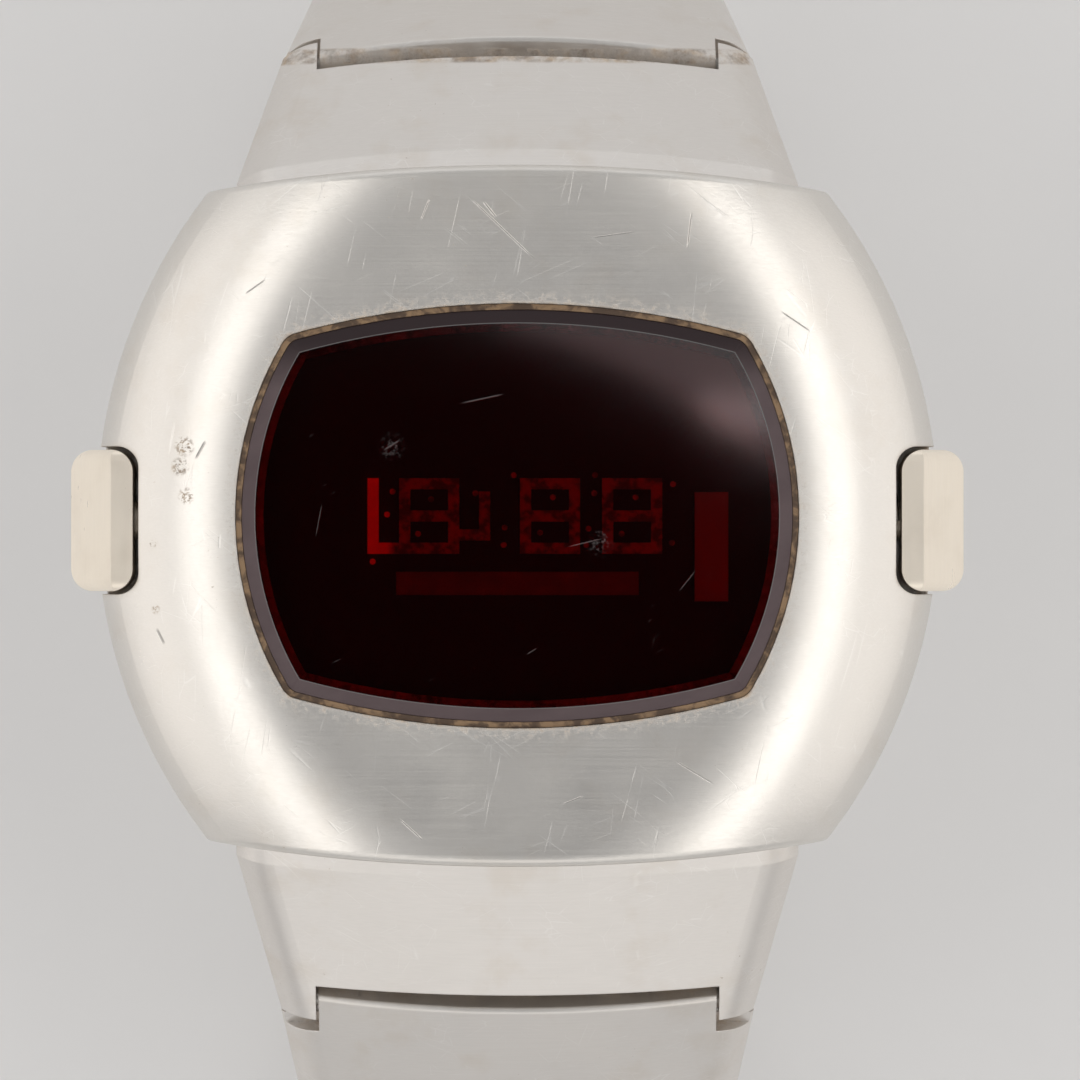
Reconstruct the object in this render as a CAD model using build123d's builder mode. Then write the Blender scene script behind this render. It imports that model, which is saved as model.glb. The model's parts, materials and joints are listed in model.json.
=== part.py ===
from build123d import *
import os
from math import asin, atan2, cos, degrees, hypot, radians, sin

# A digital wrist watch with a light-emitting display, standing face up on its closed clasp.
# Millimetres. +Z is up, out of the face; +Y points to twelve o'clock and +X to three o'clock.
# The origin is on the clasp cover's flat outer face, under the middle of the case.

os.makedirs("parts", exist_ok=True)

# Case outline and flanks
case_half_width = 19.0
case_half_height = 15.7
flank_centre_offset = 4.7
end_arc_radius = 91.5
flank_roll_radius = 9.1
flank_roll_turn = 45.0
flank_edge_radius = 3.1
flank_edge_turn = 30.0
flank_rim_radius = 0.5
flank_band_height = 1.6
underside_inset = 3.5
end_edge_radius = 0.5
overrun = 3.0

# Crystal, its seat and its gasket
crystal_corner_x = 10.1
crystal_corner_y = 7.8
crystal_half_width = 12.3
crystal_half_height = 9.2
crystal_corner_radius = 0.7
crystal_body_thickness = 1.8
crystal_bevel_height = 0.45
crystal_bevel_width = 0.58
crystal_sink = 0.1
crystal_gap = 0.3
crystal_ledge_width = 0.9
crystal_ledge_thickness = 0.6
gasket_clearance = 0.02

# Cavity for the module
pocket_half_width = 13.2
pocket_half_height = 10.2
pocket_corner_radius = 3.0
module_clearance = 0.2

# Module
substrate_half_width = 12.0
substrate_half_height = 9.0
substrate_thickness = 0.65
board_thickness = 0.7
board_gap = 0.75
seat_clearance = 0.05
frame_window_margin = 0.6
digit_height = 3.4
digit_width = 2.7
stroke_width = 0.5
stroke_height = 0.22
digit_places_x = (-3.96, 1.47, 5.16)
one_place_x = -6.48
small_mark_place_x = -1.47
small_mark_height = 2.2
small_mark_width = 1.2
dot_radius = 0.13
dot_places = (
    (-5.6, 1.1), (-5.85, 0.07), (-3.87, 0.75), (-1.88, 1.02), (-0.57, -0.52), (-0.61, -1.3), (-0.16, 1.83),
    (1.6, 0.84), (3.46, 1.02), (3.5, 1.84), (3.2, -0.57), (5.32, 0.84), (7.0, 1.43), (6.95, -1.2),
    (-6.5, -2.05), (-4.46, -0.8), (1.02, -0.75), (4.69, -0.8), (3.1, -1.3),
)
strip_half_width = 5.45
strip_height = 1.05
strip_place_y = -3.03
sensor_width = 1.5
sensor_height = 4.9
sensor_place_x = 8.72
sensor_place_y = -1.38
sensor_thickness = 0.5

# Battery cells and the parts beside them
cell_radius = 5.8
cell_thickness = 3.05
cell_edge_radius = 0.3
cell_place_x = 6.2
cell_place_y = -3.6
cell_clearance = 0.1
cell_play = 0.46
contact_strip_width = 1.6
contact_strip_length = 5.0
contact_strip_thickness = 0.14
chip_size = (6.0, 4.6, 1.3)
chip_place = (-5.0, 6.1)
can_radius = 1.0
can_length = 6.0
can_place = (3.2, 7.4)
trimmer_radius = 1.3
trimmer_height = 1.5
trimmer_slot_width = 0.4
trimmer_place = (8.6, 5.2)
component_window_half_width = 11.0
component_window_bottom = 3.2
component_window_top = 9.2

# Back cover, hatch and their screws
back_thickness = 1.4
back_edge_radius = 0.5
gasket_inset = 0.25
gasket_width = 0.4
gasket_depth = 0.4
hatch_rim = 0.6
hatch_clearance = 0.1
hatch_thickness = 0.6
hatch_gasket_thickness = 0.15
screw_head_radius = 0.6
screw_head_height = 0.45
screw_radius = 0.35
screw_length = 2.9
screw_slot_width = 0.2
screw_slot_depth = 0.2
back_screw_x = 14.5
back_screw_y = 2.5
hatch_screw_offset = 4.6

# Push buttons
button_half_length = 3.18
button_proud = 1.15
button_top_depth = 1.7
button_bottom_depth = 5.75
button_facet_run = 1.9
button_end_top_depth = 4.4
button_underside_chamfer = 0.8
button_corner_radius = 1.0
button_edge_radius = 0.6
button_edge_margin = 0.05
button_place_y = -0.2
button_travel = 0.2
button_head_gap = 0.06
button_slot_gap = 0.15
button_slot_depth = 2.0
stem_depth = 4.2
stem_radius = 0.85
stem_neck_radius = 0.6
bore_clearance = 0.06
clip_thickness = 0.33
clip_radius = 1.3
clip_recess_radius = 1.5
clip_recess_depth = 0.7
seal_minor_radius = 0.32
seal_offset = 1.4
seal_groove_width = 0.8
spring_wire_radius = 0.14
spring_radius = 1.18
spring_turns = 4
spring_recess_radius = 1.6
spring_recess_depth = 1.6
switch_notch_half_width = 1.3
switch_notch_depth = 0.9
switch_strip_thickness = 0.2
switch_strip_half_width = 0.8
switch_strip_height = 1.8

# Bracelet: widths and slopes at rest, from the case outwards
link_widths = (25.4, 21.9, 19.1, 17.6, 16.8, 16.4, 15.4)
slope_angles_12h = (40.0, 66.0, 84.0, 104.0, 130.0)
slope_angles_6h = (25.5, 41.0, 62.0, 87.0, 112.0, 138.0)
first_pitch = 9.6
link_pitch = 9.0
link_rise = 1.8
link_drop = 1.1
crown_radius = 48.0
edge_roll_width = 1.7
edge_roll_drop = 1.1
link_overlap = 0.8
link_play = 0.25
swing_clearance = 0.13
stop_gap = 0.15
ear_width = 1.9
ear_side_gap = 0.12
link_edge_radius = 0.2
pin_radius = 0.45
pin_press_gap = 0.01
pin_running_gap = 0.05
pin_cover = 1.2
pin_chamfer = 0.1

# Hinges between the case and the bracelet
hinge_inset = 2.5
hinge_depth = 4.1
root_rise = 2.6
root_drop = 1.4
root_back = 0.9
root_back_rise = 0.6
root_top_back = 0.3
lip_clearance = 0.2
root_side_gap = 0.12
root_straight = 2.2
lip_roll_drop = 0.52
case_pin_radius = 0.5
case_pin_seat = 0.8

# Clasp
clasp_pin_height = 3.1
clasp_half_width = 8.7
clasp_wall = 0.8
clasp_floor = 0.9
clasp_wall_height = 3.7
clasp_edge_radius = 0.35
clasp_tail = 1.5
blade_thickness = 0.65
blade_side_gap = 0.15
knuckle_radius = 0.85
end_knuckle_radius = 0.95
clasp_hinge_inset = 2.3
far_hinge_inset = 3.3
frame_end_gap = 0.25
frame_end_width = 1.0
bar_radius = 0.6
bar_gap = 0.35
lug_reach = 1.3
magnet_radius = 1.6
magnet_place_y = -8.0

# Everything below is worked out from the sizes above
flank_radius = case_half_width + flank_centre_offset
half_turn = 180.0
right_angle = 90.0
x_axis = Vector(1, 0, 0)
link_count = len(link_widths) - 1
hinge_y = case_half_height - hinge_inset

# Depths under the case's top, from the window down to the back
ledge_depth = crystal_sink + crystal_body_thickness
pocket_ceiling = ledge_depth + crystal_ledge_thickness
substrate_top = pocket_ceiling + seat_clearance
substrate_bottom = substrate_top + substrate_thickness
board_top = substrate_bottom + board_gap
board_bottom = board_top + board_thickness
cell_top = board_bottom + cell_clearance + contact_strip_thickness
cell_bottom = cell_top + cell_thickness
case_depth = cell_bottom + cell_play

# Places along a button's axis, from the middle of the case outwards
switch_place = substrate_half_width + seat_clearance + switch_strip_thickness
stem_tip = switch_place + switch_strip_thickness / 2 + button_travel + seat_clearance
clip_outer = pocket_half_width + clip_recess_depth - seat_clearance
clip_inner = clip_outer - clip_thickness
seal_place = pocket_half_width + seal_offset
button_slot_floor = case_half_width - button_slot_depth
head_floor = button_slot_floor + button_travel + button_head_gap
button_reach = case_half_width + button_proud
button_facet_end = button_reach - button_facet_run


def slope_vector(side, slope):
    """The way a link runs when it leaves the case towards +Y or -Y and falls by the slope."""
    return Vector(0, side * cos(radians(slope)), -sin(radians(slope)))


def pitch_of(number):
    return first_pitch if number == 0 else link_pitch


def total_drop(slopes):
    return sum(pitch_of(n) * sin(radians(slope)) for n, slope in enumerate(slopes))


hinge_height = clasp_pin_height + total_drop(slope_angles_6h)
case_top = hinge_height + hinge_depth

# The last link at twelve touches the ground with the outer corner of its end
last_hinge_height = hinge_height - total_drop(slope_angles_12h)
corner_angle = degrees(atan2(link_rise, link_pitch))
end_lean = degrees(asin(last_hinge_height / hypot(link_rise, link_pitch))) - corner_angle
slopes_12h = slope_angles_12h + (half_turn - end_lean,)
slopes_6h = slope_angles_6h


def hinge_planes(side, slopes):
    """One plane for each link: origin at the link's inner hinge, X along the link and Y outwards."""
    planes, point = [], Vector(0, side * hinge_y, hinge_height)
    for number, slope in enumerate(slopes):
        along = slope_vector(side, slope)
        planes.append(Plane(origin=point, x_dir=along, z_dir=x_axis * side))
        point = point + along * pitch_of(number)
    return planes, point


planes_12h, end_12h = hinge_planes(1, slopes_12h)
planes_6h, end_6h = hinge_planes(-1, slopes_6h)


def level(depth):
    """Height of what lies this far under the case's top."""
    return case_top - depth


def top_plane(depth):
    return Plane.XY.offset(level(depth))


def pin_plane(point):
    """A plane across the watch at a hinge, for round things on the hinge's axis."""
    return Plane(origin=point, x_dir=(0, 1, 0), z_dir=x_axis)


def finish(part, name):
    part.label = name
    export_step(part, f"parts/{name}.step")


# Outlines that several pieces share
with BuildSketch() as crystal_arcs:
    with BuildLine():
        for sign in (1, -1):
            ThreePointArc(
                (-sign * crystal_corner_x, sign * crystal_corner_y),
                (0, sign * crystal_half_height),
                (sign * crystal_corner_x, sign * crystal_corner_y),
            )
            ThreePointArc(
                (sign * crystal_corner_x, sign * crystal_corner_y),
                (sign * crystal_half_width, 0),
                (sign * crystal_corner_x, -sign * crystal_corner_y),
            )
    make_face()


def crystal_outline(grow=0):
    """The crystal's outline, four shallow arcs with rounded corners, larger or smaller all round."""
    with BuildSketch() as outline:
        add(crystal_arcs.sketch)
        if grow:
            offset(amount=grow, kind=Kind.INTERSECTION)
        fillet(outline.vertices(), crystal_corner_radius + grow)
    add(outline.sketch)


def crowned_section(half_width, top, bottom, roll_drop=edge_roll_drop):
    """A link's cross-section: crowned top, rolled edges, upright sides and a flat bottom."""
    flat_half = half_width - edge_roll_width
    crown_sag = crown_radius - (crown_radius**2 - flat_half**2) ** 0.5
    shoulder = top - crown_sag
    side_top = shoulder - roll_drop
    tangent = (crown_radius - crown_sag, flat_half)
    with BuildLine() as outline:
        ThreePointArc((-flat_half, shoulder), (0, top), (flat_half, shoulder))
        TangentArc((flat_half, shoulder), (half_width, side_top), tangent=(tangent[0], -tangent[1]))
        Polyline(
            (half_width, side_top), (half_width, bottom), (-half_width, bottom), (-half_width, side_top)
        )
        TangentArc((-flat_half, shoulder), (-half_width, side_top), tangent=(-tangent[0], -tangent[1]))
    make_face(outline.edges())


def cross_plane(link_plane, along):
    """A plane square to a link, this far along it: X is the watch's X and Y points outwards."""
    outward = link_plane.y_dir
    return Plane(
        origin=link_plane.from_local_coords((along, 0, 0)), x_dir=x_axis, z_dir=x_axis.cross(outward)
    )


def seat_half_width(number):
    """Half the width of the tongue at a hinge; the ears stand outside it."""
    return link_widths[number] / 2 - ear_width


# Case shell

# Widths and drops of the three arcs that roll the flank over from flat to upright
turn_1 = radians(flank_roll_turn)
turn_2 = radians(flank_roll_turn + flank_edge_turn)
flank_width = (
    flank_roll_radius * sin(turn_1)
    + flank_edge_radius * (sin(turn_2) - sin(turn_1))
    + flank_rim_radius * (1 - sin(turn_2))
)


def flank_disc(side, mode):
    """One of the two round discs whose overlap is the case; its flank is at +X or -X."""
    plane = Plane(origin=(-side * flank_centre_offset, 0, case_top), x_dir=(side, 0, 0), z_dir=(0, -side, 0))
    with BuildSketch(plane) as profile:
        with BuildLine():
            top = Line((0, 0), (flank_radius - flank_width, 0))
            roll = JernArc(top @ 1, top % 1, flank_roll_radius, -flank_roll_turn)
            edge = JernArc(roll @ 1, roll % 1, flank_edge_radius, -flank_edge_turn)
            rim_turn = right_angle - flank_roll_turn - flank_edge_turn
            rim = JernArc(edge @ 1, edge % 1, flank_rim_radius, -rim_turn)
            band = Line(rim @ 1, rim @ 1 - Vector(0, flank_band_height, 0))
            under = Line(band @ 1, (flank_radius - underside_inset, -case_depth))
            base = Line(under @ 1, (0, -case_depth))
            Line(base @ 1, (0, 0))
        make_face()
    revolve(profile.sketch, axis=Axis(plane.origin, (0, 0, 1)), mode=mode)


def root_wall(slope):
    """How far from the middle the case's end wall stands, where the first link's heel stops on it."""
    lean = radians(slope)
    return hinge_y - root_back * cos(lean) - root_drop * sin(lean) - swing_clearance


end_chord = case_half_width + overrun
end_sag = end_arc_radius - (end_arc_radius**2 - end_chord**2) ** 0.5
root_half_width = link_widths[0] / 2
undercut_half_width = root_half_width + root_side_gap
button_sides = {"left": -1, "right": 1}


def button_bore(side, start, stop, radius, mode=Mode.SUBTRACT):
    """A round stretch on a button's axis, between two distances from the middle of the case."""
    plane = Plane(
        origin=(side * start, button_place_y, level(stem_depth)), x_dir=(0, 1, 0), z_dir=(side, 0, 0)
    )
    with BuildSketch(plane) as disc:
        Circle(radius)
    extrude(disc.sketch, amount=stop - start, mode=mode)


def back_screw_places():
    return [
        (sx * back_screw_x, sy * back_screw_y, level(case_depth + back_thickness))
        for sx in (1, -1)
        for sy in (1, -1)
    ]


def hatch_screw_places():
    return [
        (0, cell_place_y + sign * hatch_screw_offset, level(case_depth + back_thickness)) for sign in (1, -1)
    ]


with BuildPart() as case_shell:
    flank_disc(1, Mode.ADD)
    flank_disc(-1, Mode.INTERSECT)
    with BuildSketch(Plane.XY):
        with BuildLine():
            for sign in (1, -1):
                ThreePointArc(
                    (-end_chord, sign * (case_half_height - end_sag)),
                    (0, sign * case_half_height),
                    (end_chord, sign * (case_half_height - end_sag)),
                )
                Line(
                    (sign * end_chord, case_half_height - end_sag),
                    (sign * end_chord, end_sag - case_half_height),
                )
        make_face()
    extrude(amount=case_top + overrun, mode=Mode.INTERSECT)
    by_height = case_shell.faces().sort_by(Axis.Y)
    rims = [e for f in (by_height[0], by_height[-1]) for e in f.edges() if e.center().Z > level(flank_width)]
    fillet(rims, end_edge_radius)
    # undercuts for the first links
    for side, slopes in ((1, slopes_12h), (-1, slopes_6h)):
        wall = root_wall(slopes[0])
        plane = Plane(origin=(0, side * wall, hinge_height), x_dir=(1, 0, 0), z_dir=(0, -1, 0))
        with BuildSketch(plane):
            crowned_section(undercut_half_width, root_rise + lip_clearance, -case_depth, lip_roll_drop)
        extrude(amount=-side * (case_half_height + overrun - wall), mode=Mode.SUBTRACT)
        seat_half = undercut_half_width + case_pin_seat
        with BuildSketch(pin_plane((-seat_half, side * hinge_y, hinge_height))):
            Circle(case_pin_radius + pin_press_gap)
        extrude(amount=2 * seat_half, mode=Mode.SUBTRACT)
    # opening for the crystal, and the window under it
    with BuildSketch(top_plane(ledge_depth)):
        crystal_outline(crystal_gap)
    extrude(amount=ledge_depth + overrun, mode=Mode.SUBTRACT)
    with BuildSketch(top_plane(pocket_ceiling)):
        add(offset(crystal_arcs.sketch, amount=-crystal_ledge_width, mode=Mode.PRIVATE))
    extrude(amount=crystal_ledge_thickness, mode=Mode.SUBTRACT)
    # pocket for the module
    with BuildSketch(top_plane(case_depth)):
        RectangleRounded(2 * pocket_half_width, 2 * pocket_half_height, pocket_corner_radius)
    extrude(amount=case_depth - pocket_ceiling, mode=Mode.SUBTRACT)
    # groove for the back gasket
    with BuildSketch(top_plane(case_depth)):
        RectangleRounded(
            2 * (pocket_half_width + gasket_inset + gasket_width),
            2 * (pocket_half_height + gasket_inset + gasket_width),
            pocket_corner_radius + gasket_inset + gasket_width,
        )
        RectangleRounded(
            2 * (pocket_half_width + gasket_inset),
            2 * (pocket_half_height + gasket_inset),
            pocket_corner_radius + gasket_inset,
            mode=Mode.SUBTRACT,
        )
    extrude(amount=gasket_depth, mode=Mode.SUBTRACT)
    # buttons: the slot in the flank, the stem's bore and its recesses
    for side in button_sides.values():
        with BuildSketch(top_plane(button_bottom_depth + button_slot_gap)):
            with Locations((side * button_slot_floor, button_place_y)):
                RectangleRounded(
                    button_slot_depth + overrun,
                    2 * (button_half_length + button_slot_gap),
                    button_corner_radius,
                    align=(Align.MIN if side > 0 else Align.MAX, Align.CENTER),
                )
        extrude(amount=button_bottom_depth + overrun, mode=Mode.SUBTRACT)
        button_bore(side, pocket_half_width - overrun, button_slot_floor, stem_radius + bore_clearance)
        button_bore(side, pocket_half_width, pocket_half_width + clip_recess_depth, clip_recess_radius)
        button_bore(side, button_slot_floor - spring_recess_depth, button_slot_floor, spring_recess_radius)
        button_bore(
            side,
            seal_place - seal_groove_width / 2,
            seal_place + seal_groove_width / 2,
            stem_radius + 2 * seal_minor_radius,
        )
    # screw holes for the back
    with Locations(*back_screw_places()):
        Cylinder(
            screw_radius + pin_press_gap,
            screw_length + seat_clearance,
            align=(Align.CENTER, Align.CENTER, Align.MIN),
            mode=Mode.SUBTRACT,
        )
finish(case_shell.part, "case_shell")

# Crystal with its ground bevel, and the gasket round it
with BuildPart() as crystal:
    with BuildSketch(top_plane(ledge_depth)):
        crystal_outline()
    extrude(amount=crystal_body_thickness)
    with BuildSketch(top_plane(crystal_sink)):
        crystal_outline()
    with BuildSketch(top_plane(crystal_sink - crystal_bevel_height)):
        crystal_outline(-crystal_bevel_width)
    loft(ruled=True)
finish(crystal.part, "crystal")

with BuildPart() as crystal_gasket:
    with BuildSketch(top_plane(ledge_depth)):
        crystal_outline(crystal_gap - gasket_clearance)
    extrude(amount=crystal_body_thickness)
    with BuildSketch(top_plane(ledge_depth)):
        crystal_outline(gasket_clearance)
    extrude(amount=crystal_body_thickness, mode=Mode.SUBTRACT)
finish(crystal_gasket.part, "crystal_gasket")

# Display: the dark plate, and on it the digits, the bond strip and the light sensor
with BuildPart() as display_substrate:
    with BuildSketch(top_plane(substrate_bottom)):
        Rectangle(2 * substrate_half_width, 2 * substrate_half_height)
    extrude(amount=substrate_thickness)
finish(display_substrate.part, "display_substrate")

with BuildPart() as led_digits:
    with BuildSketch(top_plane(substrate_top)):
        stroke_x = (digit_width - stroke_width) / 2
        stroke_y = (digit_height - stroke_width) / 2
        for place in digit_places_x:
            with Locations((place, 0)):
                Rectangle(digit_width, digit_height)
                with GridLocations(0, stroke_y, 1, 2):
                    Rectangle(
                        digit_width - 2 * stroke_width,
                        stroke_y - stroke_width,
                        mode=Mode.SUBTRACT,
                    )
        with Locations((one_place_x, 0)):
            Rectangle(stroke_width, digit_height)
        with Locations((one_place_x, -stroke_y)):
            Rectangle(small_mark_width, stroke_width, align=(Align.MIN, Align.CENTER))
        with Locations((small_mark_place_x, 0)):
            Rectangle(stroke_width, small_mark_height)
        with Locations((small_mark_place_x, (stroke_width - small_mark_height) / 2)):
            Rectangle(small_mark_width, stroke_width, align=(Align.MAX, Align.CENTER))
        for place in dot_places:
            with Locations(place):
                Circle(dot_radius)
    extrude(amount=stroke_height)
finish(led_digits.part, "led_digits")

with BuildPart() as bond_strip:
    with BuildSketch(top_plane(substrate_top)):
        with Locations((0, strip_place_y)):
            Rectangle(2 * strip_half_width, strip_height)
    extrude(amount=stroke_height)
finish(bond_strip.part, "bond_strip")

with BuildPart() as light_sensor:
    with BuildSketch(top_plane(substrate_top)):
        with Locations((sensor_place_x, sensor_place_y)):
            Rectangle(sensor_width, sensor_height)
    extrude(amount=sensor_thickness)
finish(light_sensor.part, "light_sensor")

# Module frame, with seats for the display plate and the board, and wells for the cells
frame_bottom = case_depth - seat_clearance
cell_places = [(sign * cell_place_x, cell_place_y) for sign in (1, -1)]
with BuildPart() as module_frame:
    with BuildSketch(top_plane(frame_bottom)):
        RectangleRounded(
            2 * (pocket_half_width - module_clearance),
            2 * (pocket_half_height - module_clearance),
            pocket_corner_radius - module_clearance,
        )
    extrude(amount=frame_bottom - substrate_top)
    with BuildSketch(top_plane(substrate_bottom + seat_clearance)):
        Rectangle(2 * (substrate_half_width + seat_clearance), 2 * (substrate_half_height + seat_clearance))
    extrude(amount=substrate_bottom, mode=Mode.SUBTRACT)
    with BuildSketch(top_plane(board_top)):
        Rectangle(
            2 * (substrate_half_width - frame_window_margin),
            2 * (substrate_half_height - frame_window_margin),
        )
    extrude(amount=board_top, mode=Mode.SUBTRACT)
    with BuildSketch(top_plane(board_bottom + seat_clearance)):
        Rectangle(2 * (substrate_half_width + seat_clearance), 2 * (substrate_half_height + seat_clearance))
    extrude(amount=board_thickness + 2 * seat_clearance, mode=Mode.SUBTRACT)
    with BuildSketch(top_plane(frame_bottom)):
        with Locations(*cell_places):
            Circle(cell_radius + cell_clearance)
        with Locations((0, (component_window_bottom + component_window_top) / 2)):
            Rectangle(2 * component_window_half_width, component_window_top - component_window_bottom)
    extrude(amount=frame_bottom - board_bottom, mode=Mode.SUBTRACT)
    with BuildSketch(top_plane(stem_depth + switch_strip_height / 2 + seat_clearance)):
        with GridLocations(2 * pocket_half_width, 0, 2, 1):
            with Locations((0, button_place_y)):
                Rectangle(2 * (switch_notch_depth + module_clearance), 2 * switch_notch_half_width)
    extrude(amount=switch_strip_height + 2 * seat_clearance, mode=Mode.SUBTRACT)
    with Locations(*hatch_screw_places()):
        Cylinder(
            screw_radius + seat_clearance,
            screw_length + seat_clearance,
            align=(Align.CENTER, Align.CENTER, Align.MIN),
            mode=Mode.SUBTRACT,
        )
finish(module_frame.part, "module_frame")

with BuildPart() as circuit_board:
    with BuildSketch(top_plane(board_bottom)):
        Rectangle(2 * substrate_half_width, 2 * substrate_half_height)
    extrude(amount=board_thickness)
finish(circuit_board.part, "circuit_board")

with BuildPart() as timing_chip:
    with BuildSketch(top_plane(board_bottom + chip_size[2])):
        with Locations(chip_place):
            Rectangle(chip_size[0], chip_size[1])
    extrude(amount=chip_size[2])
    chamfer(timing_chip.faces().sort_by(Axis.Z)[0].edges(), cell_edge_radius)
finish(timing_chip.part, "timing_chip")

with BuildPart() as quartz_can:
    with Locations((can_place[0], can_place[1], level(board_bottom + can_radius))):
        Cylinder(can_radius, can_length, rotation=(0, right_angle, 0))
    fillet(quartz_can.edges().filter_by(GeomType.CIRCLE), cell_edge_radius)
finish(quartz_can.part, "quartz_can")

with BuildPart() as trimmer:
    with BuildSketch(top_plane(board_bottom + trimmer_height)):
        with Locations(trimmer_place):
            Circle(trimmer_radius)
    extrude(amount=trimmer_height)
    with BuildSketch(top_plane(board_bottom + trimmer_height)):
        with Locations(trimmer_place):
            Rectangle(trimmer_radius, trimmer_slot_width)
    extrude(amount=trimmer_slot_width, mode=Mode.SUBTRACT)
finish(trimmer.part, "trimmer")

with BuildPart() as battery_cells:
    with BuildSketch(top_plane(cell_bottom)):
        with Locations(*cell_places):
            Circle(cell_radius)
    extrude(amount=cell_thickness)
    fillet(battery_cells.edges().filter_by(GeomType.CIRCLE), cell_edge_radius)
finish(battery_cells.part, "battery_cells")

with BuildPart() as battery_springs:
    with BuildSketch(top_plane(board_bottom + contact_strip_thickness)):
        with Locations(*cell_places):
            SlotOverall(contact_strip_length, contact_strip_width)
    extrude(amount=contact_strip_thickness)
finish(battery_springs.part, "battery_springs")

with BuildPart() as switch_contacts:
    with BuildSketch(top_plane(stem_depth + switch_strip_height / 2)):
        with GridLocations(2 * switch_place, 0, 2, 1):
            with Locations((0, button_place_y)):
                Rectangle(switch_strip_thickness, 2 * switch_strip_half_width)
    extrude(amount=switch_strip_height)
finish(switch_contacts.part, "switch_contacts")

# Back cover with its gasket, and the hatch over the cells
back_outline_radius = flank_radius - underside_inset
back_half_height = pocket_half_height + gasket_inset + 2 * gasket_width
hatch_seat_depth = case_depth + back_thickness - hatch_thickness - hatch_gasket_thickness
hatch_radius = cell_radius + cell_clearance + hatch_rim


def hatch_outline(radius):
    with Locations((0, cell_place_y)):
        SlotCenterToCenter(2 * cell_place_x, 2 * radius)


def cell_openings():
    with Locations(*cell_places):
        Circle(cell_radius + cell_clearance, mode=Mode.SUBTRACT)


with BuildPart() as case_back:
    with BuildSketch(top_plane(case_depth + back_thickness)):
        with Locations((-flank_centre_offset, 0)):
            Circle(back_outline_radius)
        with Locations((flank_centre_offset, 0)):
            Circle(back_outline_radius, mode=Mode.INTERSECT)
        Rectangle(2 * case_half_width, 2 * back_half_height, mode=Mode.INTERSECT)
    extrude(amount=back_thickness)
    fillet(case_back.faces().sort_by(Axis.Z)[0].edges(), back_edge_radius)
    with BuildSketch(top_plane(case_depth + back_thickness)):
        hatch_outline(hatch_radius + hatch_clearance)
    extrude(amount=hatch_thickness + hatch_gasket_thickness, mode=Mode.SUBTRACT)
    with BuildSketch(top_plane(case_depth + back_thickness)):
        with Locations(*cell_places):
            Circle(cell_radius + cell_clearance)
    extrude(amount=back_thickness, mode=Mode.SUBTRACT)
    with Locations(*back_screw_places(), *hatch_screw_places()):
        Cylinder(
            screw_radius + pin_press_gap,
            2 * back_thickness,
            align=(Align.CENTER, Align.CENTER, Align.MIN),
            mode=Mode.SUBTRACT,
        )
    with Locations(*back_screw_places()):
        Cylinder(
            screw_head_radius + pin_running_gap,
            screw_head_height,
            align=(Align.CENTER, Align.CENTER, Align.MIN),
            mode=Mode.SUBTRACT,
        )
finish(case_back.part, "case_back")

with BuildPart() as back_gasket:
    with BuildSketch(top_plane(case_depth)):
        RectangleRounded(
            2 * (pocket_half_width + gasket_inset + gasket_width - gasket_clearance),
            2 * (pocket_half_height + gasket_inset + gasket_width - gasket_clearance),
            pocket_corner_radius + gasket_inset + gasket_width - gasket_clearance,
        )
        RectangleRounded(
            2 * (pocket_half_width + gasket_inset + gasket_clearance),
            2 * (pocket_half_height + gasket_inset + gasket_clearance),
            pocket_corner_radius + gasket_inset + gasket_clearance,
            mode=Mode.SUBTRACT,
        )
    extrude(amount=gasket_depth - gasket_clearance)
finish(back_gasket.part, "back_gasket")

with BuildPart() as hatch_gasket:
    with BuildSketch(top_plane(hatch_seat_depth + hatch_gasket_thickness)):
        hatch_outline(hatch_radius)
        cell_openings()
    extrude(amount=hatch_gasket_thickness)
    with Locations(*hatch_screw_places()):
        Cylinder(
            screw_radius + pin_press_gap,
            2 * back_thickness,
            align=(Align.CENTER, Align.CENTER, Align.MIN),
            mode=Mode.SUBTRACT,
        )
finish(hatch_gasket.part, "hatch_gasket")

with BuildPart() as battery_hatch:
    with BuildSketch(top_plane(case_depth + back_thickness)):
        hatch_outline(hatch_radius)
    extrude(amount=hatch_thickness)
    with Locations(*hatch_screw_places()):
        Cylinder(
            screw_radius + pin_press_gap,
            2 * back_thickness,
            align=(Align.CENTER, Align.CENTER, Align.MIN),
            mode=Mode.SUBTRACT,
        )
        Cylinder(
            screw_head_radius + pin_running_gap,
            screw_head_height,
            align=(Align.CENTER, Align.CENTER, Align.MIN),
            mode=Mode.SUBTRACT,
        )
finish(battery_hatch.part, "battery_hatch")

with BuildPart() as back_screws:
    with Locations(*back_screw_places(), *hatch_screw_places()):
        Cylinder(screw_head_radius, screw_head_height, align=(Align.CENTER, Align.CENTER, Align.MIN))
        Cylinder(screw_radius, screw_length, align=(Align.CENTER, Align.CENTER, Align.MIN))
        Box(
            2 * screw_head_radius,
            screw_slot_width,
            screw_slot_depth,
            align=(Align.CENTER, Align.CENTER, Align.MIN),
            mode=Mode.SUBTRACT,
        )
finish(back_screws.part, "back_screws")


# Push buttons, each with its seal, spring and clip


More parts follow.
